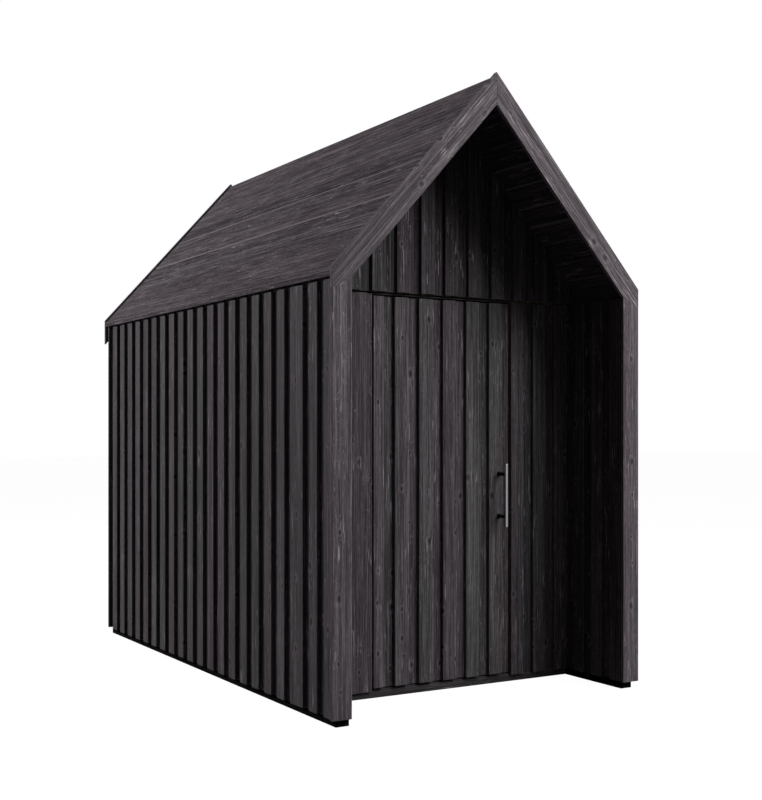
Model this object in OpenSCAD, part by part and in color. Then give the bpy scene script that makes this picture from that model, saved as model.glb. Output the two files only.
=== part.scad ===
// Gabled timber shed with a recessed front, a flush plank door and a bar handle.
// Millimetres, +Z up, front towards -Y, origin on the ground at the middle of the plan.

/* [Overall] */
// width over the front trim
shed_w = 1810; // [1500:10:2400]
// depth from the trim's front face to the back of the rear bargeboards
shed_d = 3190; // [2400:10:4200]
// height of the trim's outer eave corner
eave_h = 2070; // [1950:10:2400]
// height of the peak over the eave corner
roof_rise = 1000; // [800:10:1200]
// height of the base sill under trim and cladding
foot_h = 34; // [24:1:60]
// depth of the open recess, trim front to the front wall's boards
recess_d = 462; // [400:1:600]

/* [Boards] */
// visible width of an over-board
board_w = 82; // [70:1:100]
// distance from one over-board to the next
board_pitch = 145; // [130:1:160]
// width of the single board where wing and room wall meet
wide_w = 132; // [110:1:150]
// width of the single board on the hinge side of the door
hinge_board_w = 148; // [120:1:160]
// thickness of an over-board
board_t = 18; // [15:1:24]
// thickness of the under-boards
under_t = 22; // [18:1:26]
// thickness of the over-boards lining the recess
lining_t = 18; // [14:1:20]
// thickness of the under-boards lining the recess
lining_under_t = 11; // [8:1:14]
// step from the trim's side edge in to the over-boards
side_inset = 12; // [8:1:20]
// thickness of the wall frame panels
stud_t = 48; // [36:1:60]

/* [Trim] */
// width of the front corner boards
post_w = 103; // [90:1:120]
// width of the sloping boards
rake_w = 106; // [90:1:120]
// drop of the corner board's top cut towards the outside
post_cut = 50; // [20:1:70]
// thickness of the front trim
trim_t = 22; // [18:1:30]
// thickness of the rear bargeboards
barge_t = 26; // [18:1:30]
// overhang of the bargeboards behind the rear boards
rear_over = 37; // [32:1:60]

/* [Roof] */
// thickness of the roof boards, square to the slope
roof_t = 20; // [16:1:28]
// height of the trim over the roof, plumb
rake_lip = 15; // [8:1:25]
// visible height of the eave strip
fascia_h = 26; // [20:1:45]

/* [Gap over the door] */
// step of the gable boards in front of the wall boards
gable_step = 22; // [15:1:28]
// height of the lower edge of the gable boards, below the eave corner
gable_drop = 41; // [30:1:60]
// gap between gable boards and the fixed boards under them
fixed_gap = 9; // [6:1:20]
// drop of the door's top under the gable boards
door_drop = 20; // [18:1:30]
// thickness of the strip over the door
head_t = 5; // [4:1:6]

/* [Door] */
// width between the fixed boards beside the door
door_open = 857; // [780:1:900]
// gap at both upright edges of the leaf
door_gap = 8; // [7:0.5:12]
// height of the leaf's lower edge over the sill
door_lift = 15; // [13:1:25]
// thickness of the leaf's backing panel
panel_t = 30; // [22:1:36]
// step of the backing panel inside the leaf's edge
panel_inset = 16; // [14:1:24]
// gap between the leaf's back and the stops
stop_gap = 6; // [5:0.5:9]

/* [Floor] */
// thickness of the floor deck
deck_t = 20; // [14:1:24]

/* [Handle] */
// length of the bar
bar_l = 332; // [250:1:450]
// width of the square bar
bar_w = 14; // [12:1:20]
// distance between the two posts
post_pitch = 223; // [150:1:300]
// distance from the boards to the middle of the bar
bar_off = 66; // [45:1:80]
// diameter of a post
standoff_d = 18; // [10:1:20]
// diameter of a post's foot
rose_d = 26; // [18:1:34]
// height of the handle's middle
bar_z = 996; // [900:1:1100]
// distance from the leaf's free edge to the handle
bar_edge = 74; // [55:1:78]

/* [Hinges] */
// radius of a knuckle
knuckle_r = 3.5; // [3:0.1:3.5]
// radius of the pin
pin_r = 1.6; // [1.4:0.1:1.8]
// clearance of the pin in its bore
pin_play = 0.08; // [0.03:0.01:0.1]
// height of one knuckle
knuckle_h = 36; // [25:1:50]
// depth of a hinge plate along the board's edge
plate_d = 34; // [20:1:40]
// thickness of a hinge plate
plate_t = 2; // [1.5:0.1:2.5]

/* [Hidden] */
$fn = 48;
half_w = shed_w / 2;
slope = roof_rise / half_w;
roof_ang = atan(slope);
peak_h = eave_h + roof_rise;
y0 = -shed_d / 2;
y_back = shed_d / 2;
rake_plumb = rake_w / cos(roof_ang);
roof_plumb = roof_t / cos(roof_ang);
gap_w = board_pitch - board_w;

x_over = half_w - side_inset;
x_under = x_over - board_t;
x_core = x_under - under_t;
x_room = x_core - stud_t;
x_post = half_w - post_w;
x_lining = x_post + 2;
x_wing = x_lining + lining_t + lining_under_t;

y_trim = y0 + trim_t;
y_face = y0 + recess_d;
y_under = y_face + board_t;
y_core = y_under + under_t;
y_room = y_core + stud_t;
y_gable = y_face - gable_step;
y_barge = y_back - barge_t;
y_rear_face = y_back - rear_over;
y_rear_under = y_rear_face - board_t;
y_rear_core = y_rear_under - under_t;
y_rear_room = y_rear_core - stud_t;
y_sill = y_face + 14;

gable_z = eave_h - gable_drop;
fixed_top = gable_z - fixed_gap;
leaf_top = gable_z - door_drop;
leaf_z = foot_h + door_lift;
leaf_half = door_open / 2 - door_gap;
panel_half = leaf_half - panel_inset;
jamb_in = leaf_half - 2;
jamb_out = door_open / 2 + 12;
y_stop = y_core + stop_gap;
axis_x = -(leaf_half + door_gap / 2);
bar_x = leaf_half - bar_edge;
post_inner_z = peak_h - rake_plumb - x_post * slope;
head_z = leaf_top + (gable_z - leaf_top - head_t) * 0.5;
hinge_zs = [leaf_z + 190, (leaf_z + leaf_top) / 2, leaf_top - 190];

wood = [0.26, 0.25, 0.26];
wood_trim = [0.31, 0.29, 0.30];
wood_base = [0.10, 0.10, 0.10];
raw = [0.62, 0.50, 0.36];
steel = [0.62, 0.63, 0.64];
black = [0.07, 0.07, 0.07];

// height of the roof's top and underside over a place across the shed
function roof_top(x) = peak_h - rake_lip - abs(x) * slope;
function roof_under(x) = roof_top(x) - roof_plumb;

// a box between two corners
module span(a, b) {
  translate(a)
    cube(b - a);
}

// an outline across the shed, drawn in X and Z, pushed from one Y to another
module across(y_from, y_to) {
  translate([0, y_to, 0])
    rotate([90, 0, 0])
      linear_extrude(height = y_to - y_from)
        children();
}

// a plan outline raised from one height to another
module upright(z_from, z_to) {
  translate([0, 0, z_from])
    linear_extrude(height = z_to - z_from)
      children();
}

// everything under the roof boards
module below_roof() {
  across(y0, y_back)
    polygon([[-x_over, 0], [x_over, 0], [x_over, roof_under(x_over)], [0, roof_under(0)], [-x_over, roof_under(x_over)]]);
}

// one outline on the right, or its mirror image on the left
module sided(side) {
  if (side < 0)
    mirror([1, 0, 0])
      children();
  else
    children();
}

// plan of boards along X: under-boards with over-boards in front
module boards_x(x_from, x_to, y_face_at, y_back_at, t, starts, widths) {
  translate([x_from, min(y_face_at + t, y_back_at)])
    square([x_to - x_from, abs(y_back_at - y_face_at) - t]);
  for (i = [0 : len(starts) - 1]) {
    a = max(starts[i], x_from);
    b = min(starts[i] + widths[i], x_to);
    if (b - a > 6)
      translate([a, y_face_at])
        square([b - a, t + 0.5]);
  }
}

// plan of boards along Y with faces towards +X or -X
module boards_y(y_from, y_to, x_face, x_in, t, starts, widths) {
  out = x_face > x_in ? 1 : -1;
  translate([min(x_in, x_face - out * t), y_from])
    square([abs(x_face - x_in) - t, y_to - y_from]);
  for (i = [0 : len(starts) - 1]) {
    a = max(starts[i], y_from);
    b = min(starts[i] + widths[i], y_to);
    if (b - a > 6)
      translate([out > 0 ? x_face - t - 0.5 : x_face, a])
        square([t + 0.5, b - a]);
  }
}

// starts of the over-boards on a side wall: wing, corner board, room wall
corner_end = y_face - 18;
corner_start = corner_end - wide_w;
wing_n = ceil((corner_start - y_trim) / board_pitch);
room_start = corner_end + gap_w;
room_n = floor((y_rear_core - room_start) / board_pitch) + 1;
side_starts = concat(
  [for (i = [wing_n : -1 : 1]) corner_start - i * board_pitch],
  [corner_start],
  [for (i = [0 : room_n - 1]) room_start + i * board_pitch]
);
side_widths = concat(
  [for (i = [wing_n : -1 : 1]) board_w],
  [wide_w],
  [for (i = [0 : room_n - 1]) board_w]
);
// starts of the over-boards lining the recess
lining_n = ceil((y_face - y_trim) / board_pitch);
lining_starts = [for (i = [0 : lining_n - 1]) y_trim + 8 + i * board_pitch];
lining_widths = [for (i = [0 : lining_n - 1]) board_w];
// starts of the over-boards on the front: one grid for door, right part and gable
grid_n = ceil(shed_w / board_pitch);
front_starts = [for (i = [-grid_n : grid_n]) door_open / 2 + i * board_pitch];
front_widths = [for (i = [-grid_n : grid_n]) board_w];
// starts of the over-boards left of the door: one wide board, then the usual ones
left_starts = concat(
  [-door_open / 2 - hinge_board_w],
  [for (i = [1 : 4]) -door_open / 2 - hinge_board_w - i * board_pitch]
);
left_widths = concat([hinge_board_w], [for (i = [1 : 4]) board_w]);
// starts of the over-boards on the rear wall, one in the middle
rear_starts = [for (i = [-grid_n : grid_n]) i * board_pitch - board_w / 2];
rear_widths = [for (i = [-grid_n : grid_n]) board_w];

module side_sill(side) {
  color(wood_base)
    sided(side)
      span([x_room, y_trim, 0], [x_under, y_rear_core, foot_h]);
}

module sill_left() {
  side_sill(-1);
}

module sill_right() {
  side_sill(1);
}

module sill_rear() {
  color(wood_base)
    span([-x_room, y_rear_room, 0], [x_room, y_rear_core, foot_h]);
}

module sill_front() {
  color(wood_base)
    span([-x_room, y_sill, 0], [x_room, y_room, foot_h]);
}

module floor_deck() {
  color(raw)
    span([-x_room, y_room, foot_h - deck_t], [x_room, y_rear_room, foot_h]);
}

module threshold() {
  color(wood_base)
    span([-jamb_in, y_under, foot_h], [jamb_in, y_room, foot_h + door_lift - 7]);
}

module room_wall(side) {
  color(raw)
    intersection() {
      sided(side)
        span([x_room, y_core, foot_h], [x_core, y_rear_core, peak_h]);
      below_roof();
    }
}

module left_wall() {
  room_wall(-1);
}

module right_wall() {
  room_wall(1);
}

module rear_wall() {
  color(raw)
    intersection() {
      span([-x_room, y_rear_room, foot_h], [x_room, y_rear_core, peak_h]);
      below_roof();
    }
}

module front_part(side) {
  color(raw)
    sided(side)
      span([jamb_out, y_core, foot_h], [x_room, y_room, gable_z]);
}

module front_wall_left() {
  front_part(-1);
}

module front_wall_right() {
  front_part(1);
}

module front_gable_wall() {
  color(raw)
    intersection() {
      union() {
        span([-x_room, y_core - 1, gable_z], [x_room, y_room, peak_h]);
        span([-x_wing, y_gable + board_t + under_t, gable_z], [x_wing, y_core, peak_h]);
      }
      below_roof();
    }
}

module wing_wall(side) {
  color(wood)
    intersection() {
      sided(side)
        span([x_wing, y_trim, foot_h], [x_core, y_core, peak_h]);
      below_roof();
    }
}

module left_wing_wall() {
  wing_wall(-1);
}

module right_wing_wall() {
  wing_wall(1);
}

module wing_lining(side) {
  color(wood)
    sided(side)
      upright(foot_h, fixed_top)
        boards_y(y_trim, y_core, x_lining, x_wing, lining_t, lining_starts, lining_widths);
}

module left_wing_lining() {
  wing_lining(-1);
}

module right_wing_lining() {
  wing_lining(1);
}

module side_cladding(side) {
  color(wood)
    intersection() {
      sided(side)
        upright(foot_h, peak_h)
          boards_y(y_trim, y_rear_core, x_over, x_core, board_t, side_starts, side_widths);
      below_roof();
    }
}

module left_cladding() {
  side_cladding(-1);
}

module right_cladding() {
  side_cladding(1);
}

module rear_cladding() {
  color(wood)
    intersection() {
      mirror([0, 1, 0])
        upright(foot_h, peak_h)
          boards_x(-x_over, x_over, -y_rear_face, -y_rear_core, board_t, rear_starts, rear_widths);
      below_roof();
    }
}

module front_cladding_left() {
  color(wood)
    upright(foot_h, fixed_top)
      boards_x(-x_lining, -door_open / 2, y_face, y_core, board_t, left_starts, left_widths);
}

module front_cladding_right() {
  color(wood)
    upright(foot_h, fixed_top)
      boards_x(door_open / 2, x_lining, y_face, y_core, board_t, front_starts, front_widths);
}

module gable_cladding() {
  color(wood)
    intersection() {
      upright(gable_z, peak_h)
        boards_x(-x_wing, x_wing, y_gable, y_gable + board_t + under_t, board_t, front_starts, front_widths);
      below_roof();
    }
}

module jamb(side) {
  color(wood)
    sided(side)
      span([jamb_in, y_stop, foot_h], [jamb_out, y_room, gable_z]);
}

module left_jamb() {
  jamb(-1);
}

module right_jamb() {
  jamb(1);
}

module door_head() {
  color(wood)
    span([-jamb_in, y_stop, head_z], [jamb_in, y_room, gable_z]);
}

module head_strip() {
  color(black)
    span([-door_open / 2, y_face + 6, head_z], [door_open / 2, y_stop, head_z + head_t]);
}

module roof_side(side) {
  color(wood)
    sided(side)
      across(y_trim, y_barge)
        polygon([[0, roof_top(0)], [x_over, roof_top(x_over)], [x_over, roof_under(x_over)], [0, roof_under(0)]]);
}

module left_roof() {
  roof_side(-1);
}

module right_roof() {
  roof_side(1);
}

module fascia(side) {
  fascia_z = roof_top(half_w) - fascia_h;
  color(wood_trim)
    sided(side)
      across(y_trim, y_barge)
        polygon([[x_over, roof_top(x_over)], [half_w, roof_top(half_w)], [half_w, fascia_z], [x_over, fascia_z]]);
}

module left_fascia() {
  fascia(-1);
}

module right_fascia() {
  fascia(1);
}

module post_board(side) {
  color(wood_trim)
    sided(side)
      across(y0, y_trim)
        polygon([
          [x_post, foot_h],
          [half_w, foot_h],
          [half_w, post_inner_z - post_cut],
          [x_post, post_inner_z]
        ]);
}

module front_left_post() {
  post_board(-1);
}

module front_right_post() {
  post_board(1);
}

module rake(side) {
  color(wood_trim)
    sided(side)
      across(y0, y_trim)
        polygon([
          [0, peak_h],
          [half_w, eave_h],
          [half_w, post_inner_z - post_cut],
          [x_post, post_inner_z],
          [0, peak_h - rake_plumb]
        ]);
}

module front_left_rake() {
  rake(-1);
}

module front_right_rake() {
  rake(1);
}

module bargeboard(side) {
  color(wood_trim)
    sided(side)
      across(y_barge, y_back)
        polygon([
          [0, peak_h],
          [half_w, eave_h],
          [half_w, eave_h - rake_plumb],
          [0, peak_h - rake_plumb]
        ]);
}

module rear_left_bargeboard() {
  bargeboard(-1);
}

module rear_right_bargeboard() {
  bargeboard(1);
}

module door_panel() {
  color(wood)
    span([-panel_half, y_core, leaf_z + panel_inset], [panel_half, y_core + panel_t, leaf_top - panel_inset]);
}

module door_boards() {
  color(wood)
    upright(leaf_z, leaf_top)
      boards_x(-leaf_half, leaf_half, y_face, y_core, board_t, front_starts, front_widths);
}

module handle_bar() {
  color(steel)
    translate([bar_x - bar_w / 2, y_face - bar_off - bar_w / 2, bar_z - bar_l / 2])
      cube([bar_w, bar_w, bar_l]);
}

module handle_posts() {
  color(black)
    for (s = [-1, 1])
      translate([bar_x, y_face, bar_z + s * post_pitch / 2])
        rotate([90, 0, 0]) {
          cylinder(h = bar_off - bar_w / 2, d = standoff_d);
          cylinder(h = 4, d = rose_d);
        }
}

// fixed half of a hinge: plate on the board's edge, knuckle and pin
module hinge_pintles() {
  color(black)
    for (z = hinge_zs)
      translate([axis_x, y_face, z]) {
        difference() {
          union() {
            translate([0, 0, -knuckle_h])
              cylinder(h = knuckle_h, r = knuckle_r);
            translate([-door_gap / 2, 0, -knuckle_h])
              cube([plate_t, plate_d, knuckle_h]);
          }
          translate([door_gap / 2 - 0.2, -knuckle_r, -knuckle_h - 1])
            cube([knuckle_r, plate_d, knuckle_h + 2]);
        }
        translate([0, 0, -1])
          cylinder(h = knuckle_h - 8, r = pin_r);
      }
}

// moving half of a hinge: plate on the leaf's edge and bored knuckle
module hinge_gudgeons() {
  color(black)
    for (z = hinge_zs)
      translate([axis_x, y_face, z + 1])
        difference() {
          union() {
            cylinder(h = knuckle_h, r = knuckle_r);
            translate([door_gap / 2 - plate_t, 0, 0])
              cube([plate_t, plate_d, knuckle_h]);
          }
          translate([0, 0, -1])
            cylinder(h = knuckle_h - 6, r = pin_r + pin_play);
        }
}

sill_left();
sill_right();
sill_rear();
sill_front();
floor_deck();
threshold();
left_wall();
right_wall();
rear_wall();
front_wall_left();
front_wall_right();
front_gable_wall();
left_wing_wall();
right_wing_wall();
left_wing_lining();
right_wing_lining();
left_cladding();
right_cladding();
rear_cladding();
front_cladding_left();
front_cladding_right();
gable_cladding();
left_jamb();
right_jamb();
door_head();
head_strip();
left_roof();
right_roof();
left_fascia();
right_fascia();
front_left_post();
front_right_post();
front_left_rake();
front_right_rake();
rear_left_bargeboard();
rear_right_bargeboard();
door_panel();
door_boards();
handle_bar();
handle_posts();
hinge_pintles();
hinge_gudgeons();
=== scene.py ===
# %% [markdown]
# # A charcoal garden shed
# The shed is a timber building with a steep roof, a recess in front and a plank door that
# lies flush with its wall. Nearly all that shows is sawn timber under a dark stain, so most
# of the work is in the boards: each is a plank of its own, with its own grain and tone.

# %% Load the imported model
import math
import random

import bmesh
import bpy
from mathutils import Matrix, Vector


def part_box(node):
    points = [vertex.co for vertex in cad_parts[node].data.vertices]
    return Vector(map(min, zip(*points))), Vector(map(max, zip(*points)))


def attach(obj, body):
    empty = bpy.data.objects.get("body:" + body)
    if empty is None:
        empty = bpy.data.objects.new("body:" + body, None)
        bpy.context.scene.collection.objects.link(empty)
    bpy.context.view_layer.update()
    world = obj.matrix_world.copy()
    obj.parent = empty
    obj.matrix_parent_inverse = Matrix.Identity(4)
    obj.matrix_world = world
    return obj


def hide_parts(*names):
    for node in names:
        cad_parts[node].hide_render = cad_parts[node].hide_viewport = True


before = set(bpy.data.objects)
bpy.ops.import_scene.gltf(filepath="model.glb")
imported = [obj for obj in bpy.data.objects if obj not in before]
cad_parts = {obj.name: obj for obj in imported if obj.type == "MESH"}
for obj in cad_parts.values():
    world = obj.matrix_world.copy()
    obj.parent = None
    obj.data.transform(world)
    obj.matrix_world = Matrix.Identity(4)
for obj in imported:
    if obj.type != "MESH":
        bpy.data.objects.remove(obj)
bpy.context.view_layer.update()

# %% [markdown]
# ## The main levels
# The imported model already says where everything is. A few levels are read from the boxes of
# its nodes, so that the boards drawn here sit exactly where the solids are. A box doesn't
# tell the slope of the roof or the thickness of its boards, so these are numbers, in metres.

# %% Read the levels from the nodes
ROOF_RISE = 1.000
ROOF_RUN = 0.905
ROOF_T = 0.020

post_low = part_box("front_right_post")[0]
rake_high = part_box("front_right_rake")[1]
roof_low, roof_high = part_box("right_roof")
front_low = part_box("front_cladding_right")[0]

POST_X, POST_Y, FOOT_Z = post_low
HALF_W = rake_high[0]
PEAK_Z = rake_high[2]
ROOF_X = roof_high[0]
ROOF_Y0, ROOF_Y1 = roof_low[1], roof_high[1]
ROOF_TOP = roof_high[2]
DOOR_HALF = front_low[0]
FACE_Y = front_low[1]

SLOPE = ROOF_RISE / ROOF_RUN
ANGLE = math.atan(SLOPE)
ROOF_UNDER = ROOF_TOP - ROOF_T / math.cos(ANGLE)
SIDES = ((-1, "left"), (1, "right"))
print("peak %.3f m, half width %.3f m" % (PEAK_Z, HALF_W))
print("roof slope %.1f degrees" % math.degrees(ANGLE))

# %% [markdown]
# ## The camera
# The picture shows upright lines as upright, so the camera is level and its lens is shifted
# instead of tilted. Its place, heading and focal length come from a perspective fit to the
# corners of the trim. A portrait picture measures the sensor along its long side.

# %% Set the camera
SENSOR_MM = 36.0
LONG_SIDE_PX = 800.0
FOCAL_PX = 1246.06
SHIFT_PX = 32.52
HEADING = math.radians(30.6144)
CAMERA_LEFT = 3.5487
CAMERA_BACK = 4.8966
CAMERA_UP = 1.2923


def link(thing):
    bpy.context.scene.collection.objects.link(thing)
    return thing


lens = bpy.data.cameras.new("view")
lens.sensor_width = SENSOR_MM
lens.lens = FOCAL_PX * SENSOR_MM / LONG_SIDE_PX
lens.shift_y = SHIFT_PX / LONG_SIDE_PX
camera = link(bpy.data.objects.new("view", lens))
camera.location = (-CAMERA_LEFT, POST_Y - CAMERA_BACK, FOOT_Z + CAMERA_UP)
camera.rotation_euler = (math.radians(90), 0.0, -HEADING)
bpy.context.scene.camera = camera
print("lens %.1f mm" % lens.lens)

# %% [markdown]
# ## Shader maths as Python
# A finish is a small calculation on coordinates. It could be wired by hand in the node
# editor, but written with operators it stays short: this class wraps one socket, and every
# sum or product adds the Math node that does it. Any other node comes from one method, which
# takes its settings first and then its sockets. Colours go through Mix, since a Math node
# would turn them grey. Mix has sockets of the same name for each kind of value, so those for
# colours are picked by number.

# %% Wrap a socket
MIX_FACTOR = 0
MIX_FIRST = 6
MIX_SECOND = 7
MIX_COLOUR = 2


class Wire:
    def __init__(self, tree, socket=None):
        self.tree = tree
        self.socket = socket

    def node(self, kind, settings=None, sockets=None, out=0):
        made = self.tree.nodes.new(kind)
        for name, value in (settings or {}).items():
            if name == "stops":
                set_stops(made.color_ramp, value)
            else:
                setattr(made, name, value)
        for name, value in (sockets or {}).items():
            if isinstance(value, Wire):
                self.tree.links.new(value.socket, made.inputs[name])
            else:
                made.inputs[name].default_value = value
        return Wire(self.tree, made.outputs[out] if made.outputs else None)

    def maths(self, operation, *values):
        return self.node("ShaderNodeMath", {"operation": operation}, dict(enumerate(values)))

    def __add__(self, other):
        return self.maths("ADD", self, other)

    def __sub__(self, other):
        return self.maths("SUBTRACT", self, other)

    def __mul__(self, other):
        return self.maths("MULTIPLY", self, other)

    def __rsub__(self, other):
        return self.maths("SUBTRACT", other, self)

    __radd__ = __add__
    __rmul__ = __mul__

    def step(self, low, high):
        sockets = {"Value": self, "From Min": low, "From Max": high}
        return self.node("ShaderNodeMapRange", {"interpolation_type": "SMOOTHSTEP"}, sockets)

    def stretched(self, scales, length=1.0):
        across, along = scales
        sockets = {"Vector": self, "Scale": (across, across, along / length)}
        return self.node("ShaderNodeMapping", None, sockets)

    def noise(self, detail=2.0, roughness=0.5, distortion=0.0):
        sockets = {"Vector": self, "Scale": 1.0, "Detail": detail}
        sockets.update({"Roughness": roughness, "Distortion": distortion})
        return self.node("ShaderNodeTexNoise", None, sockets)

    def mix(self, factor, first, second, kind="MIX"):
        settings = {"data_type": "RGBA", "blend_type": kind}
        sockets = {MIX_FACTOR: factor, MIX_FIRST: first, MIX_SECOND: second}
        return self.node("ShaderNodeMix", settings, sockets, MIX_COLOUR)


def set_stops(ramp, stops):
    while len(ramp.elements) < len(stops):
        ramp.elements.new(1.0)
    for element, (place, colour) in zip(ramp.elements, stops):
        element.position = place
        element.color = colour


print("shader maths ready")

# %% [markdown]
# Each finish starts from an empty node tree, and ends in a Principled shader with its output.
# A value that is the same all over the surface goes straight onto the shader's socket.

# %% Start and close a finish
def new_finish(name):
    material = bpy.data.materials.new(name)
    material.use_nodes = True
    material.node_tree.nodes.clear()
    return material, Wire(material.node_tree)


def close_finish(start, sockets):
    shader = start.node("ShaderNodeBsdfPrincipled", None, sockets)
    start.node("ShaderNodeOutputMaterial", None, {"Surface": shader})


def opaque(colour, factor=1.0):
    return (*(channel * factor for channel in colour), 1.0)


print("finishes can start")

# %% [markdown]
# ## Knots
# Softwood boards have small dark knots, each in a slightly paler ring. They could be modelled
# or painted one by one, but scattered cells do it for every board at once: a Voronoi pattern
# on the board's face gives each cell a random colour, and about one cell in five is chosen to
# hold a knot. The second channel of that colour sets the knot's size.

# %% Mask the knots
KNOT_CELLS = (13.0, 8.0)
KNOT_CHOICE = (0.79, 0.81)
KNOT_SIZE = (0.55, 0.65)
KNOT_EDGE = (0.02, 0.11)
RING_INSIDE = (0.09, 0.13)
RING_OUTSIDE = (0.13, 0.20)
HALO_EDGE = (0.05, 0.40)


def knot_masks(start, grain):
    across = start.node("ShaderNodeSeparateXYZ", None, {"Vector": grain}, "X")
    along = start.node("ShaderNodeSeparateXYZ", None, {"Vector": grain}, "Z")
    flat = {"X": across * KNOT_CELLS[0], "Y": along * KNOT_CELLS[1]}
    face = start.node("ShaderNodeCombineXYZ", None, flat)
    settings = {"voronoi_dimensions": "2D", "feature": "F1", "distance": "EUCLIDEAN"}
    sockets = {"Vector": face, "Scale": 1.0, "Randomness": 1.0}
    distance = start.node("ShaderNodeTexVoronoi", settings, sockets, "Distance")
    cell = {"Color": start.node("ShaderNodeTexVoronoi", settings, sockets, "Color")}
    chosen = start.node("ShaderNodeSeparateColor", None, cell, "Red").step(*KNOT_CHOICE)
    bulk = start.node("ShaderNodeSeparateColor", None, cell, "Green")
    distance = distance * (KNOT_SIZE[0] + bulk * KNOT_SIZE[1])
    knot = (1.0 - distance.step(*KNOT_EDGE)) * chosen
    ring = distance.step(*RING_INSIDE) * (1.0 - distance.step(*RING_OUTSIDE)) * chosen
    halo = (1.0 - distance.step(*HALO_EDGE)) * chosen
    return knot, ring, halo


print("knots: %g by %g cells per metre" % KNOT_CELLS)

# %% [markdown]
# ## Rubbed spots
# Where the stain was rubbed off, pale fibres show: as short dashes along the grain, round the
# knots, and as specks. The saw has also left faint marks across the boards. Each pattern is
# noise cut off high, so that little of it remains, and a second, broader noise says where on
# the board it appears. The first pair of numbers is cells per metre, across and along the
# board, and the second pair is the level at which the noise is cut, from none to all.

# %% Mask the rubbed spots
DASH, DASH_CUT = (180.0, 7.5), (0.64, 0.71)
DASH_AREA, DASH_AREA_CUT = (13.0, 3.5), (0.49, 0.59)
SPECK, SPECK_CUT = (200.0, 55.0), (0.66, 0.74)
SAW, SAW_CUT = (13.0, 130.0), (0.64, 0.72)
SAW_AREA, SAW_AREA_CUT = (9.0, 5.0), (0.54, 0.62)
SPECK_SHARE = 0.6
SMOOTH = 1.0


def rubbed_masks(flow, halo):
    fibres = flow.stretched(DASH).noise(SMOOTH).step(*DASH_CUT)
    area = flow.stretched(DASH_AREA).noise().step(*DASH_AREA_CUT)
    speck = flow.stretched(SPECK).noise(SMOOTH).step(*SPECK_CUT)
    dash = fibres * area + halo * fibres + speck * area * SPECK_SHARE
    saw_area = flow.stretched(SAW_AREA).noise(SMOOTH).step(*SAW_AREA_CUT)
    saw = flow.stretched(SAW).noise().step(*SAW_CUT) * saw_area
    return dash, saw


print("rubbed dashes: %g by %g cells per metre" % DASH)

# %% [markdown]
# ## Stained timber
# On the real shed the stain has soaked into sawn softwood, and its long fibres show as fine
# streaks. A picture could be wrapped round the boards, but it would repeat. Here noise is
# stretched along each board's own length, in four widths, and bent a little round the knots.
# The boards carry a vector called grain (across, through and along the board) and numbers
# for their own tone, their greenish cast and their worn edges, so no two look alike.

# %% Define the timber finish
FIBRE, FIBRE_SHARE = (260.0, 3.5), 1.4
LINE, LINE_SHARE = (110.0, 0.9), 0.9
BROAD, BROAD_SHARE = (26.0, 0.8), 0.4
FLECK, FLECK_SHARE = (170.0, 26.0), 0.55
PATCH, PATCH_CUT = (9.0, 0.9), (0.40, 0.58)
GREEN = opaque((0.88, 1.03, 0.92))
GREEN_EVEN, GREEN_PATCHY = 0.4, 0.6
COARSE = 0.6
KNOT_BEND = 0.005
RUBBED_LIGHT = 1.7
DASH_SHARE, SAW_SHARE, RING_SHARE, KNOT_SHARE = 0.9, 0.16, 0.30, 0.80
FIBRE_ROUGH, DASH_SMOOTH = 0.30, 0.06
RELIEF_STRENGTH, RELIEF_HEIGHT = 0.35, 0.0015
FIBRE_RELIEF, LINE_RELIEF, KNOT_RELIEF = 0.55, 0.45, 0.5


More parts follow.
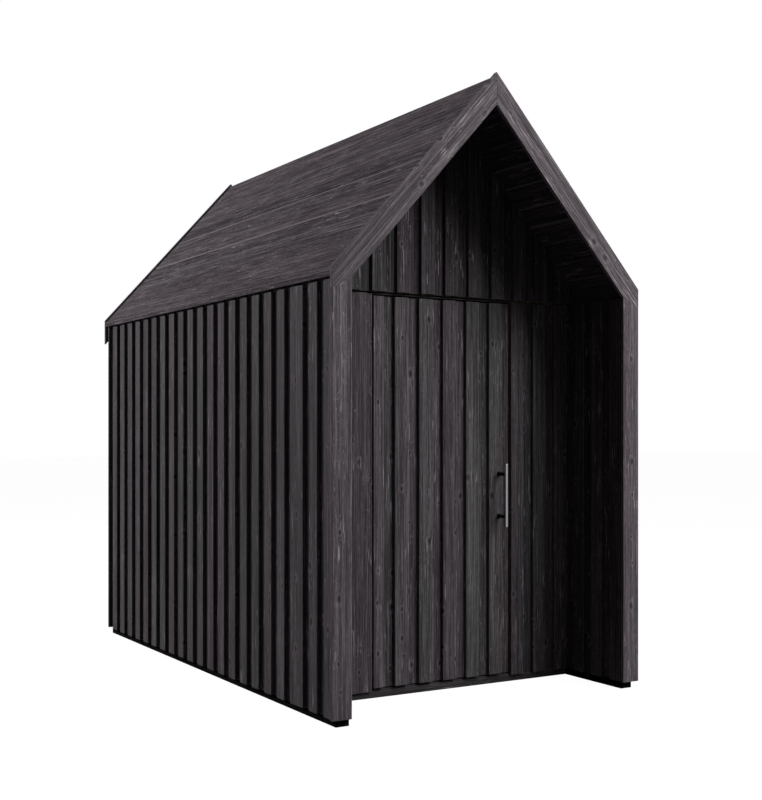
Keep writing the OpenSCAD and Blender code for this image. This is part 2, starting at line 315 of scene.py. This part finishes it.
def timber(name, deep, mid, pale, contrast=1.0, knots=1.0, dashes=1.0, rough=0.62,
           patches=1.0, length=1.0, gleam=0.03, edges=0.22):
    material, start = new_finish(name)

    def carried(attribute, out="Fac"):
        return start.node("ShaderNodeAttribute", {"attribute_name": attribute}, None, out)

    grain = carried("grain", "Vector")
    knot, ring, halo = knot_masks(start, grain)
    bend = start.node("ShaderNodeCombineXYZ", None, {"X": halo * KNOT_BEND})
    flow = start.node("ShaderNodeVectorMath", {"operation": "ADD"}, {0: grain, 1: bend})
    dash, saw = rubbed_masks(flow, halo)
    dash = dash * dashes

    fibre = flow.stretched(FIBRE, length).noise(roughness=COARSE)
    line = flow.stretched(LINE, length).noise(roughness=COARSE)
    broad = flow.stretched(BROAD, length).noise()
    fleck = flow.stretched(FLECK, length).noise(roughness=COARSE)
    layers = ((fibre, FIBRE_SHARE), (line, LINE_SHARE), (broad, BROAD_SHARE), (fleck, FLECK_SHARE))
    level = 0.5 + carried("tone")
    for layer, share in layers:
        level = level + (layer - 0.5) * (share * contrast)

    deep, mid, pale, rubbed = opaque(deep), opaque(mid), opaque(pale), opaque(pale, RUBBED_LIGHT)
    stops = {"stops": [(0.0, deep), (0.5, mid), (1.0, pale)]}
    colour = start.node("ShaderNodeValToRGB", stops, {"Fac": level})
    patch = flow.stretched(PATCH).noise().step(*PATCH_CUT)
    cast = carried("cast") * (GREEN_EVEN + patch * GREEN_PATCHY) * patches
    colour = start.mix(cast, colour, start.mix(1.0, colour, GREEN, "MULTIPLY"))
    colour = start.mix(dash * DASH_SHARE, colour, rubbed)
    colour = start.mix(saw * SAW_SHARE, colour, pale)
    colour = start.mix(carried("edge") * edges, colour, pale)
    colour = start.mix(ring * (RING_SHARE * knots), colour, pale)
    colour = start.mix(knot * (KNOT_SHARE * knots), colour, deep)

    roughness = rough + (fibre - 0.5) * FIBRE_ROUGH - dash * DASH_SMOOTH
    height = fibre * FIBRE_RELIEF + line * LINE_RELIEF - knot * KNOT_RELIEF
    relief = {"Strength": RELIEF_STRENGTH, "Distance": RELIEF_HEIGHT, "Height": height}
    bump = start.node("ShaderNodeBump", None, relief)
    surface = {"Base Color": colour, "Roughness": roughness, "Normal": bump}
    close_finish(start, {**surface, "Specular IOR Level": gleam})
    return material


print("timber finish ready")

# %% [markdown]
# Five finishes come from it. Boards and trim have the same stain, a little paler on the trim.
# The roof is paler still: painted light, standing in for the light its boards take from the
# sky. It has no gleam at all, because at the flat angle from which it is seen even a faint one
# would veil the grain. The base timbers are nearly black, and the floor inside is bare wood.

# %% Mix the timber finishes
STAIN_BOARDS = timber(
    "stained_boards",
    deep=(0.0180, 0.0148, 0.0172),
    mid=(0.0705, 0.0587, 0.0672),
    pale=(0.187, 0.164, 0.180),
    dashes=0.9,
)
STAIN_TRIM = timber(
    "stained_trim",
    deep=(0.0268, 0.0222, 0.0257),
    mid=(0.0878, 0.0737, 0.0843),
    pale=(0.216, 0.189, 0.207),
    contrast=1.15,
)
# The roof's paler colours are painted light, for boards lit from the sky.
STAIN_ROOF = timber(
    "stained_roof",
    deep=(0.0280, 0.0230, 0.0270),
    mid=(0.0945, 0.0780, 0.0910),
    pale=(0.250, 0.219, 0.242),
    contrast=1.15,
    knots=0.5,
    dashes=0.7,
    patches=0.3,
    length=0.7,
    gleam=0.0,
    # Strong pale edges: partly worn stain, partly a painted highlight.
    edges=1.0,
)
STAIN_BASE = timber(
    "black_base",
    deep=(0.0025, 0.0024, 0.0025),
    mid=(0.010, 0.0094, 0.0098),
    pale=(0.024, 0.022, 0.023),
    dashes=0.3,
    gleam=0.0,
)
RAW_TIMBER = timber(
    "raw_timber",
    deep=(0.24, 0.145, 0.066),
    mid=(0.50, 0.36, 0.205),
    pale=(0.66, 0.52, 0.34),
    contrast=0.7,
    dashes=0.2,
    rough=0.55,
)
print("timber finishes:", [material.name for material in bpy.data.materials])

# %% [markdown]
# ## One plank
# A plank is a box with eased edges. It is made lying in its own axes (x across, y through,
# z along the grain), placed, cut by planes where its ends follow a slope, and then bevelled.
# Unwrapping it would be another way to lay the grain, but here every corner simply gets its
# grain vector from the plank's own axes, so that the streaks run along the plank however it
# is turned. The eased faces are marked, because stain wears off edges first; on the roof the
# pale edges are also a painted highlight. The face towards minus y can have a tone of its own:
# it is the underside of a roof board, where the darker tone is painted shade, and the front of a
# rake. The planks of one wall go into one mesh, which takes the place of the wall's solid.

# %% Build planks and collect them
GRAIN_REACH = (9.0, 9.0, 90.0)
CASTS = (0.0, 0.15, 0.3, 0.9, 1.0)
MINUS_Y_LIMIT = -0.5
draw = random.Random(42)


def new_piece(name, bm, material):
    mesh = bpy.data.meshes.new(name)
    bm.to_mesh(mesh)
    bm.free()
    mesh.materials.append(material)
    return link(bpy.data.objects.new(name, mesh))


def cut_away(bm, point, normal):
    parts = bm.verts[:] + bm.edges[:] + bm.faces[:]
    cut = bmesh.ops.bisect_plane(
        bm, geom=parts, dist=1e-6, plane_co=point, plane_no=normal, clear_outer=True
    )
    rim = [part for part in cut["geom_cut"] if isinstance(part, bmesh.types.BMEdge)]
    if rim:
        bmesh.ops.holes_fill(bm, edges=rim)


class Planks:
    def __init__(self, name, material, slot, node, body="shed", spread=0.035, minus_y_tone=0.0):
        self.name = name
        self.material = material
        self.slot = slot
        self.node = node
        self.body = body
        self.spread = spread
        self.minus_y_tone = minus_y_tone
        self.count = 0
        self.mesh = bmesh.new()

    def add(self, size, place, cuts=(), ease=0.0025, tone=0.0, wear=1.0):
        bm = bmesh.new()
        bmesh.ops.create_cube(bm, size=1.0, matrix=place @ Matrix.Diagonal((*size, 1.0)))
        for point, normal in cuts:
            cut_away(bm, point, normal)
        bmesh.ops.recalc_face_normals(bm, faces=bm.faces[:])
        worn = bm.faces.layers.float.new("edge")
        eased = bmesh.ops.bevel(
            bm, geom=bm.edges[:], offset=ease, affect="EDGES", segments=2, profile=0.5, material=-1
        )
        for face in eased["faces"]:
            face[worn] = wear
        self.mark_grain(bm, place.inverted(), tone)
        part = bpy.data.meshes.new("part")
        bm.to_mesh(part)
        bm.free()
        self.mesh.from_mesh(part)
        bpy.data.meshes.remove(part)
        self.count += 1

    def mark_grain(self, bm, to_plank, tone):
        grain = bm.loops.layers.float_vector.new("grain")
        tones = bm.faces.layers.float.new("tone")
        casts = bm.faces.layers.float.new("cast")
        shift = Vector([draw.uniform(0, reach) for reach in GRAIN_REACH])
        own_tone = draw.gauss(tone, self.spread)
        own_cast = draw.choice(CASTS)
        for face in bm.faces:
            to_minus_y = (to_plank.to_3x3() @ face.normal).y < MINUS_Y_LIMIT
            face[tones] = own_tone + (self.minus_y_tone if to_minus_y else 0.0)
            face[casts] = own_cast
            for loop in face.loops:
                loop[grain] = to_plank @ loop.vert.co + shift

    def finish(self):
        piece = new_piece(self.name, self.mesh, self.material)
        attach(piece, self.body)
        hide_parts(self.node)
        print(self.name, self.count, "planks,", len(piece.data.polygons), "faces")


print("plank builder ready")

# %% [markdown]
# Planks are placed by their three axes and their middle. Upright boards face along Y, or
# along X on the long walls. Where a board reaches the roof, a plane under the slope cuts it.

# %% Place planks
X, Y, Z = Vector((1, 0, 0)), Vector((0, 1, 0)), Vector((0, 0, 1))


def middle_and_size(low, high):
    return (Vector(low) + Vector(high)) / 2, Vector(high) - Vector(low)


def frame_of(across, through, along, middle):
    place = Matrix((across, through, along)).transposed().to_4x4()
    place.translation = middle
    return place


def upright(low, high, facing):
    middle, size = middle_and_size(low, high)
    if facing == "y":
        return (size.x, size.y, size.z), frame_of(X, Y, Z, middle)
    return (size.y, size.x, size.z), frame_of(Y, -X, Z, middle)


def slope_plane(side, height):
    return Vector((0, 0, height)), Vector((side * SLOPE, 0, 1))


BOTH_SLOPES = [slope_plane(side, ROOF_UNDER) for side, _ in SIDES]
print("boards end under", len(BOTH_SLOPES), "slopes at %.3f m" % ROOF_UNDER)

# %% [markdown]
# ## Board-on-board walls
# The cladding has two layers: under-boards fixed to the frame with gaps between them, and
# over-boards that cover the gaps. The step between the layers gives the deep upright shadows.
# A flat wall with painted stripes would lose them, so every board is laid. One function lays
# both layers of a wall from a list of over-board starts and widths. The bottom ends of the
# over-boards vary by a millimetre or so, as boards cut by hand do, and the under-boards are
# darker: painted shade that deepens the shadows in the gaps.

# %% Lay the boards of a wall
BOARD_W = 0.082
BOARD_T = 0.018
PITCH = 0.145
GAP_W = PITCH - BOARD_W
LAP = 0.023
LEAST_OVER = 0.006
LEAST_GAP = 0.004
OVER_EASE = 0.003
UNDER_EASE = 0.002
JOINT = 0.0004
END_SPREAD = 0.0008
# Under-boards get a lower tone: painted shade for the gaps between the over-boards.
UNDER_PAINTED_SHADE = -0.13
PLENTY = 30


def row(start, first=-PLENTY, last=PLENTY):
    return [(start + i * PITCH, BOARD_W) for i in range(first, last)]


def split(spans, low, high):
    inside = [(max(start, low), min(start + width, high)) for start, width in spans]
    overs = sorted((a, b) for a, b in inside if b - a > LEAST_OVER)
    ends = [low] + [end for over in overs for end in over] + [high]
    gaps = [(a, b) for a, b in zip(ends[0::2], ends[1::2]) if b - a > LEAST_GAP]
    return overs, [(max(a - LAP, low), min(b + LAP, high)) for a, b in gaps]


def clad(name, node, facing, out, spans, cuts=(), body="shed", top=None, tone=0.0, under=UNDER_PAINTED_SHADE):
    low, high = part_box(node)
    axis, deep = (0, 1) if facing == "y" else (1, 0)
    face, back = (low[deep], high[deep]) if out < 0 else (high[deep], low[deep])
    middle = face - out * BOARD_T
    planks = Planks(name, STAIN_BOARDS, "stained_boards", node, body)

    def board(a, b, outer, inner, bottom, upper):
        corner_low, corner_high = [0.0, 0.0, bottom], [0.0, 0.0, upper]
        corner_low[axis], corner_high[axis] = a, b
        corner_low[deep], corner_high[deep] = sorted((outer, inner))
        return upright(corner_low, corner_high, facing)

    overs, unders = split(spans, low[axis], high[axis])
    for a, b in unders:
        planks.add(*board(a, b, middle, back, low[2], high[2]), cuts, UNDER_EASE, tone + under)
    for a, b in overs:
        bottom = low[2] + abs(draw.gauss(0, END_SPREAD))
        over = board(a + JOINT, b - JOINT, face, middle, bottom, top or high[2])
        planks.add(*over, cuts, OVER_EASE, tone)
    planks.finish()


print("boards every %.0f mm, %.0f mm apart" % (PITCH * 1000, GAP_W * 1000))

# %% [markdown]
# The long walls have one wider board where the wing meets the room, and the grid runs both
# ways from it. The over-boards end a little below the eave strip, which leaves a dark line
# under the roof. The under-boards of these walls are darker than those of the others: painted
# shade, for gaps that lie fully in shadow.

# %% Long walls
CORNER_W = 0.132
EAVE_GAP = 0.010
# Darker still on the long walls: painted shade for gaps lying fully in shadow.
LONG_WALL_PAINTED_SHADE = -0.35

corner_end = FACE_Y - BOARD_T
corner_start = corner_end - CORNER_W
wing_boards = row(corner_start, first=-4, last=0)
room_boards = row(corner_end + GAP_W, first=0)
long_wall = wing_boards + [(corner_start, CORNER_W)] + room_boards
for side, name in SIDES:
    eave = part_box(name + "_fascia")[0][2]
    clad(name + "_wall_boards", name + "_cladding", "x", side, long_wall, BOTH_SLOPES,
         top=eave - EAVE_GAP, under=LONG_WALL_PAINTED_SHADE)

# %% [markdown]
# The rear wall uses the same boards, with one in the middle, cut to the slopes of the roof.

# %% Rear wall
clad("rear_wall_boards", "rear_cladding", "y", 1, row(-BOARD_W / 2), BOTH_SLOPES)

# %% [markdown]
# ## The recess
# Door, fixed boards and gable share one grid of over-boards, counted from the right edge of
# the doorway. Left of the doorway there is one wide board against the hinge gap. The gable
# boards stand a board's thickness in front, so a dark gap runs across the wall over the door.
# The gable and the lining of the wings are darker: painted shade, where the roof and the wings
# keep the light out of the recess. The wide board left of the doorway is darker as well.

# %% Front wall, gable and the lining of the wings
HINGE_BOARD_W = 0.148
WING_START = 0.008
WING_BOARDS = 5
HINGE_BOARD_TONE = -0.12
# Gable and wing linings are darker: painted shade of the roof and the wings in the recess.
GABLE_PAINTED_SHADE = -0.14
WING_PAINTED_SHADE = -0.22

clad("front_boards_right", "front_cladding_right", "y", -1, row(DOOR_HALF))

hinge_start = -DOOR_HALF - HINGE_BOARD_W
left_boards = row(hinge_start, first=-4, last=0) + [(hinge_start, HINGE_BOARD_W)]
clad("front_boards_left", "front_cladding_left", "y", -1, left_boards, tone=HINGE_BOARD_TONE)
clad("gable_boards", "gable_cladding", "y", -1, row(DOOR_HALF), BOTH_SLOPES, tone=GABLE_PAINTED_SHADE)

for side, name in SIDES:
    lining = name + "_wing_lining"
    wing_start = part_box(lining)[0][1] + WING_START
    lining_boards = row(wing_start, first=0, last=WING_BOARDS)
    clad(name + "_wing_boards", lining, "x", -side, lining_boards, tone=WING_PAINTED_SHADE)

# %% [markdown]
# ## The door leaf
# The leaf continues the grid of the wall, so that it nearly disappears: only a thin upright
# gap at the hinges gives it away. It could be part of the wall's mesh, but then it couldn't
# open, so it has a mesh of its own that rides on the door's body and swings with it.

# %% Door boards
LEAF_TONE = 0.055

clad("door_leaf_boards", "door_boards", "y", -1, row(DOOR_HALF), body="door", tone=LEAF_TONE)

# %% [markdown]
# ## Roof boards
# The roof is boarded from front to back. The boards meet edge to edge, so their joints are
# only fine grooves, and the top pair is cut plumb where the slopes meet. On some boards the
# edges get a larger bevel and a paler edge, which shows as a light line along the roof: partly
# worn stain, partly a painted highlight of edges catching the light. The underside, over the
# recess, is darker than the top: painted shade.

# %% Roof
# Per board: bevel size and pale edge, partly worn stain, partly a painted highlight.
ROOF_WEAR_AND_HIGHLIGHT = (0.3, 0.1, 0.5, 0.2, 0.9, 0.1, 1.0, 0.6, 0.1, 0.3, 0.2)
ROOF_EASE = 0.0025
WORN_EASE = 0.006
ROOF_SPREAD = 0.045
# Darker underside of the roof boards: painted shade over the recess.
SOFFIT_PAINTED_SHADE = -0.30


def slope_axes(side):
    down = Vector((side * math.cos(ANGLE), 0, -math.sin(ANGLE)))
    normal = Vector((side * math.sin(ANGLE), 0, math.cos(ANGLE)))
    return down, normal


def plumb_at(x, side):
    return Vector((x, 0, 0)), X * side


roof_board_w = (ROOF_X / math.cos(ANGLE) + ROOF_T) / len(ROOF_WEAR_AND_HIGHLIGHT)
ridge = Vector((0, (ROOF_Y0 + ROOF_Y1) / 2, ROOF_TOP))
for side, name in SIDES:
    roof = Planks(name + "_roof_boards", STAIN_ROOF, "roof_boards", name + "_roof",
                  spread=ROOF_SPREAD, minus_y_tone=SOFFIT_PAINTED_SHADE)
    down, normal = slope_axes(side)
    cuts = [plumb_at(0, -side), plumb_at(side * ROOF_X, side)]
    for i, wear in enumerate(ROOF_WEAR_AND_HIGHLIGHT):
        middle = ridge + down * ((i + 0.5) * roof_board_w - ROOF_T * SLOPE) - normal * (ROOF_T / 2)
        place = frame_of(down, normal, down.cross(normal), middle)
        size = (roof_board_w, ROOF_T, ROOF_Y1 - ROOF_Y0)
        roof.add(size, place, cuts, ROOF_EASE + WORN_EASE * wear, wear=wear)
    roof.finish()

# %% [markdown]
# ## Corner boards
# A corner board stands at each front corner. Its top end meets the rake in a joint that runs
# down and outwards. The plank is made too long and cut along that joint, which is simpler
# than working out where each corner of its end lies.

# %% Corner boards
RAKE_W = 0.106
JOINT_DROP = 0.050
SPARE = 0.1
POST_EASE = 0.003
joint_z = PEAK_Z - RAKE_W / math.cos(ANGLE) - POST_X * SLOPE


def joint_plane(side):
    normal = Vector((-side * JOINT_DROP, 0, POST_X - HALF_W)).normalized()
    return Vector((side * POST_X, 0, joint_z)), normal


def corner_board(side, name):
    node = "front_%s_post" % name
    low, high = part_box(node)
    post = Planks("front_%s_corner_board" % name, STAIN_TRIM, "trim_boards", node)
    size, place = upright(low, (high[0], high[1], high[2] + SPARE), "y")
    joint, normal = joint_plane(side)
    post.add(size, place, [(joint, -normal)], POST_EASE)
    post.finish()


print("corner boards meet the rakes at %.3f m" % joint_z)

# %% [markdown]
# ## Rakes and bargeboards
# A rake is one straight plank laid along the slope and cut by planes: plumb at the peak,
# plumb at the outside, and along the joint with the corner board. The bargeboards at the rear
# are the same planks without that joint, so that their tips hang below the eave. The front
# rakes are lighter on their top face, where the stain has worn, and the rear ones are darker:
# painted shade, as their edges along the roof would lie unlit.

# %% Rakes and bargeboards
RAKE_LEN = 2.2
RAKE_MIDDLE = 0.65
RAKE_EASE = 0.002
RAKE_TONE = 0.10
RAKE_SIDE_TONE = 0.025
RAKE_FRONT_TONE = -0.10
# Darker rear bargeboards: painted shade for their unlit edges.
BARGE_PAINTED_SHADE = -0.30


def sloping_board(side, node, material, cuts, tone, front_tone=0.0):
    low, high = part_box(node)
    down, normal = slope_axes(side)
    peak = Vector((0, (low[1] + high[1]) / 2, PEAK_Z))
    place = frame_of(Y.cross(down), Y, down, peak + down * RAKE_MIDDLE - normal * (RAKE_W / 2))
    size = (RAKE_W, high[1] - low[1], RAKE_LEN)
    board = Planks(node + "_board", material, "trim_boards", node, minus_y_tone=front_tone)
    board.add(size, place, [plumb_at(0, -side), plumb_at(side * HALF_W, side), *cuts], RAKE_EASE, tone)
    board.finish()


def front_rake(side, name):
    tone = RAKE_TONE - RAKE_SIDE_TONE * side
    node = "front_%s_rake" % name
    sloping_board(side, node, STAIN_TRIM, [joint_plane(side)], tone, RAKE_FRONT_TONE)


def rear_bargeboard(side, name):
    sloping_board(side, "rear_%s_bargeboard" % name, STAIN_BOARDS, [], BARGE_PAINTED_SHADE)


print("rakes %.0f mm wide" % (RAKE_W * 1000))

# %% [markdown]
# ## Eave strips
# A narrow strip closes each eave. Its top follows the slope, so a box is cut by the plane of
# the roof. With that, the trim is put together side by side.

# %% Eave strips, and all the trim
STRIP_EASE = 0.0012


def eave_strip(side, name):
    node = name + "_fascia"
    middle, size = middle_and_size(*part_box(node))
    strip = Planks(name + "_eave_strip", STAIN_ROOF, "trim_boards", node)
    place = frame_of(Z, X, Y, middle)
    strip.add((size.z, size.x, size.y), place, [slope_plane(side, ROOF_TOP)], STRIP_EASE)
    strip.finish()


for side, name in SIDES:
    corner_board(side, name)
    front_rake(side, name)
    rear_bargeboard(side, name)
    eave_strip(side, name)

# %% [markdown]
# ## Base sill
# The shed stands on black timbers, a little behind the faces of the boards. The sill across
# the recess and the threshold over it carry the same stain as the boards, only darker.

# %% Sills and threshold
FRONT_SILL_TONE = -0.25

for node in ("sill_left", "sill_right", "sill_front", "sill_rear", "threshold"):
    middle, size = middle_and_size(*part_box(node))
    in_recess = node in ("sill_front", "threshold")
    stain = STAIN_BOARDS if in_recess else STAIN_BASE
    sill = Planks(node + "_timber", stain, "base_timber", node)
    if node in ("sill_left", "sill_right"):
        sill.add((size.x, size.z, size.y), frame_of(X, -Z, Y, middle))
    else:
        tone = FRONT_SILL_TONE if in_recess else 0.0
        sill.add((size.y, size.z, size.x), frame_of(Y, Z, X, middle), tone=tone)
    sill.finish()

# %% [markdown]
# ## Floor boards
# The floor is seen only through the open door: bare boards from front to back. A hair of a
# gap between them keeps each board a closed shape of its own.

# %% Floor boards
FLOOR_BOARDS = 14
FLOOR_GAP = 0.0006
FLOOR_EASE = 0.0012

low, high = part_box("floor_deck")
middle, size = middle_and_size(low, high)
deck = Planks("floor_boards", RAW_TIMBER, "raw_timber", "floor_deck")
floor_pitch = size.x / FLOOR_BOARDS
for i in range(FLOOR_BOARDS):
    board_middle = Vector((low[0] + (i + 0.5) * floor_pitch, middle.y, middle.z))
    place = frame_of(X, -Z, Y, board_middle)
    deck.add((floor_pitch - FLOOR_GAP, size.z, size.y), place, (), FLOOR_EASE)
deck.finish()

# %% [markdown]
# ## The hidden frame
# Wall panels and door frame are seen only through the open door or as dark lines in the
# gaps. Their solids are right as they are, and get a simpler timber finish. It reads object
# coordinates, since they carry no grain vector, and all of them have upright grain.

# %% Finish the remaining solids
PANEL_FIBRE, PANEL_FIBRE_SHARE = (160.0, 5.0), 0.4
PANEL_STREAK, PANEL_STREAK_SHARE = (24.0, 0.9), 0.6
PANEL_DETAIL = 3.0
PANEL_ROUGH = 0.2
PANEL_RELIEF = {"Strength": 0.25, "Distance": 0.001}
PANEL_GLEAM = 0.08


def plain_timber(name, deep, pale, rough):
    material, start = new_finish(name)
    place = start.node("ShaderNodeTexCoord", out="Object")
    fibre = place.stretched(PANEL_FIBRE).noise(PANEL_DETAIL, COARSE)
    streak = place.stretched(PANEL_STREAK).noise(PANEL_DETAIL, roughness=0.55, distortion=0.3)
    level = fibre * PANEL_FIBRE_SHARE + streak * PANEL_STREAK_SHARE
    stops = {"stops": [(0.3, opaque(deep)), (0.7, opaque(pale))]}
    colour = start.node("ShaderNodeValToRGB", stops, {"Fac": level})
    roughness = rough + (fibre - 0.5) * PANEL_ROUGH
    bump = start.node("ShaderNodeBump", None, {**PANEL_RELIEF, "Height": fibre})
    surface = {"Base Color": colour, "Roughness": roughness, "Normal": bump}
    close_finish(start, {**surface, "Specular IOR Level": PANEL_GLEAM})
    return material


def finish_solids(names, material):
    for name in names:
        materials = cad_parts[name].data.materials
        materials.clear()
        materials.append(material)
    print(material.name, "on", ", ".join(names))


PANEL_TIMBER = plain_timber("panel_timber", (0.33, 0.215, 0.11), (0.58, 0.43, 0.26), 0.6)
DARK_TIMBER = plain_timber("dark_timber", (0.016, 0.0145, 0.0155), (0.040, 0.036, 0.038), 0.65)
room_walls = ["left_wall", "right_wall", "rear_wall", "front_wall_left", "front_wall_right"]
finish_solids(room_walls + ["front_gable_wall", "door_panel"], PANEL_TIMBER)
wing_walls = ["left_wing_wall", "right_wing_wall"]
finish_solids(wing_walls + ["left_jamb", "right_jamb", "door_head", "head_strip"], DARK_TIMBER)

# %% [markdown]
# ## Metal
# The handle is a bar on two posts. The bar is brushed lengthwise: fine grooves too small to
# model, so noise is stretched along Z and varies the colour a little and the roughness more.
# Posts and hinges are satin black, which is a coating and so not metallic to the shader.

# %% Define the metal and coat the small parts
BRUSH = (900.0, 12.0)
BRUSH_DARK, BRUSH_LIGHT = 0.85, 1.15
BRUSH_VARY = 0.15


def metal(name, colour, rough, metallic, gleam):
    material, start = new_finish(name)
    place = start.node("ShaderNodeTexCoord", out="Object")
    brush = place.stretched(BRUSH).noise(roughness=COARSE)
    tint = start.mix(brush, opaque(colour, BRUSH_DARK), opaque(colour, BRUSH_LIGHT))
    surface = {"Base Color": tint, "Roughness": rough + (brush - 0.5) * BRUSH_VARY}
    close_finish(start, {**surface, "Metallic": metallic, "Specular IOR Level": gleam})
    return material


BRUSHED = metal("brushed_steel", (0.25, 0.26, 0.265), rough=0.26, metallic=1.0, gleam=0.5)
BLACK_METAL = metal("satin_black", (0.005, 0.005, 0.0055), rough=0.5, metallic=0.0, gleam=0.04)
finish_solids(["handle_posts", "hinge_pintles", "hinge_gudgeons"], BLACK_METAL)

# %% [markdown]
# The bar's solid has sharp edges, which no real bar has. A new box with a small round bevel
# takes its place, so that its edges catch the light, and it moves with the door.

# %% Handle bar
BAR_EASE = 0.0012

middle, size = middle_and_size(*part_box("handle_bar"))
bm = bmesh.new()
box_shape = Matrix.Translation(middle) @ Matrix.Diagonal((*size, 1.0))
bmesh.ops.create_cube(bm, size=1.0, matrix=box_shape)
bmesh.ops.bevel(
    bm, geom=bm.edges[:], offset=BAR_EASE, affect="EDGES", segments=3, profile=0.5, material=-1
)
bar = new_piece("handle_bar_steel", bm, BRUSHED)
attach(bar, "door")
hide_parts("handle_bar")
print("handle bar", [round(length, 3) for length in size])

# %% [markdown]
# ## White ground
# The picture has a plain white ground. More light would wash out the dark boards, so the
# floor and the world are white only to rays from the camera and to rays that come by way of
# a reflection or through glass. All other rays find them dim, and the floor still takes a
# faint shadow.

# %% Floor and world
FLOOR_REACH = 60.0
FLOOR_MATT = 0.08
FLOOR_FAINT = 0.06
FLOOR_GLOW = 0.98
WORLD_DIM = 0.062
WHITE = opaque((1, 1, 1))


def seen_directly(start):
    rays = ("Is Camera Ray", "Is Glossy Ray", "Is Transmission Ray")
    seen, *others = [start.node("ShaderNodeLightPath", out=ray) for ray in rays]
    for other in others:
        seen = seen.maths("MAXIMUM", seen, other)
    return seen


def matt(start, grey):
    return start.node("ShaderNodeBsdfDiffuse", None, {"Color": opaque((grey, grey, grey))})


def background(start, strength):
    return start.node("ShaderNodeBackground", None, {"Color": WHITE, "Strength": strength})


floor_finish, start = new_finish("pale_floor")
glow = start.node("ShaderNodeEmission", None, {"Color": WHITE, "Strength": FLOOR_GLOW})
shown = start.node("ShaderNodeAddShader", None, {0: matt(start, FLOOR_FAINT), 1: glow})
choice = {0: seen_directly(start), 1: matt(start, FLOOR_MATT), 2: shown}
both = start.node("ShaderNodeMixShader", None, choice)
start.node("ShaderNodeOutputMaterial", None, {"Surface": both})
bm = bmesh.new()
bmesh.ops.create_grid(bm, x_segments=1, y_segments=1, size=FLOOR_REACH)
floor = new_piece("floor", bm, floor_finish)

world = bpy.data.worlds.new("studio")
bpy.context.scene.world = world
world.use_nodes = True
world.node_tree.nodes.clear()
start = Wire(world.node_tree)
choice = {0: seen_directly(start), 1: background(start, WORLD_DIM), 2: background(start, 1.0)}
both = start.node("ShaderNodeMixShader", None, choice)
start.node("ShaderNodeOutputWorld", None, {"Surface": both})
print("white ground ready")

# %% [markdown]
# ## Lamps
# A wide soft lamp in front on the right lights the front and leaves the right half of the
# recess dark. A second one, low behind on the left, lights the long wall and the roof. A lamp
# is placed by the direction from which its light comes, so that it can move away without
# changing the shadows' direction.

# %% Lamps
def softbox(name, direction, distance, target, size, power):
    data = bpy.data.lights.new(name, "AREA")
    data.shape = "RECTANGLE"
    data.size, data.size_y = size
    data.energy = power
    lamp = link(bpy.data.objects.new(name, data))
    towards = Vector(direction).normalized()
    lamp.location = Vector(target) + towards * distance
    lamp.rotation_euler = towards.to_track_quat("Z", "Y").to_euler()
    print(name, "lamp at", [round(place, 2) for place in lamp.location])


softbox(
    "key",
    direction=(0.575, -0.500, 0.648),
    distance=7.0,
    target=(0.0, -1.2, 1.3),
    size=(6.0, 6.2),
    power=890.0,
)
softbox(
    "side",
    direction=(-0.60, 0.69, 0.40),
    distance=11.0,
    target=(-0.8, 0.0, 1.5),
    size=(3.6, 4.5),
    power=960.0,
)
bpy.context.scene.view_settings.view_transform = "Standard"
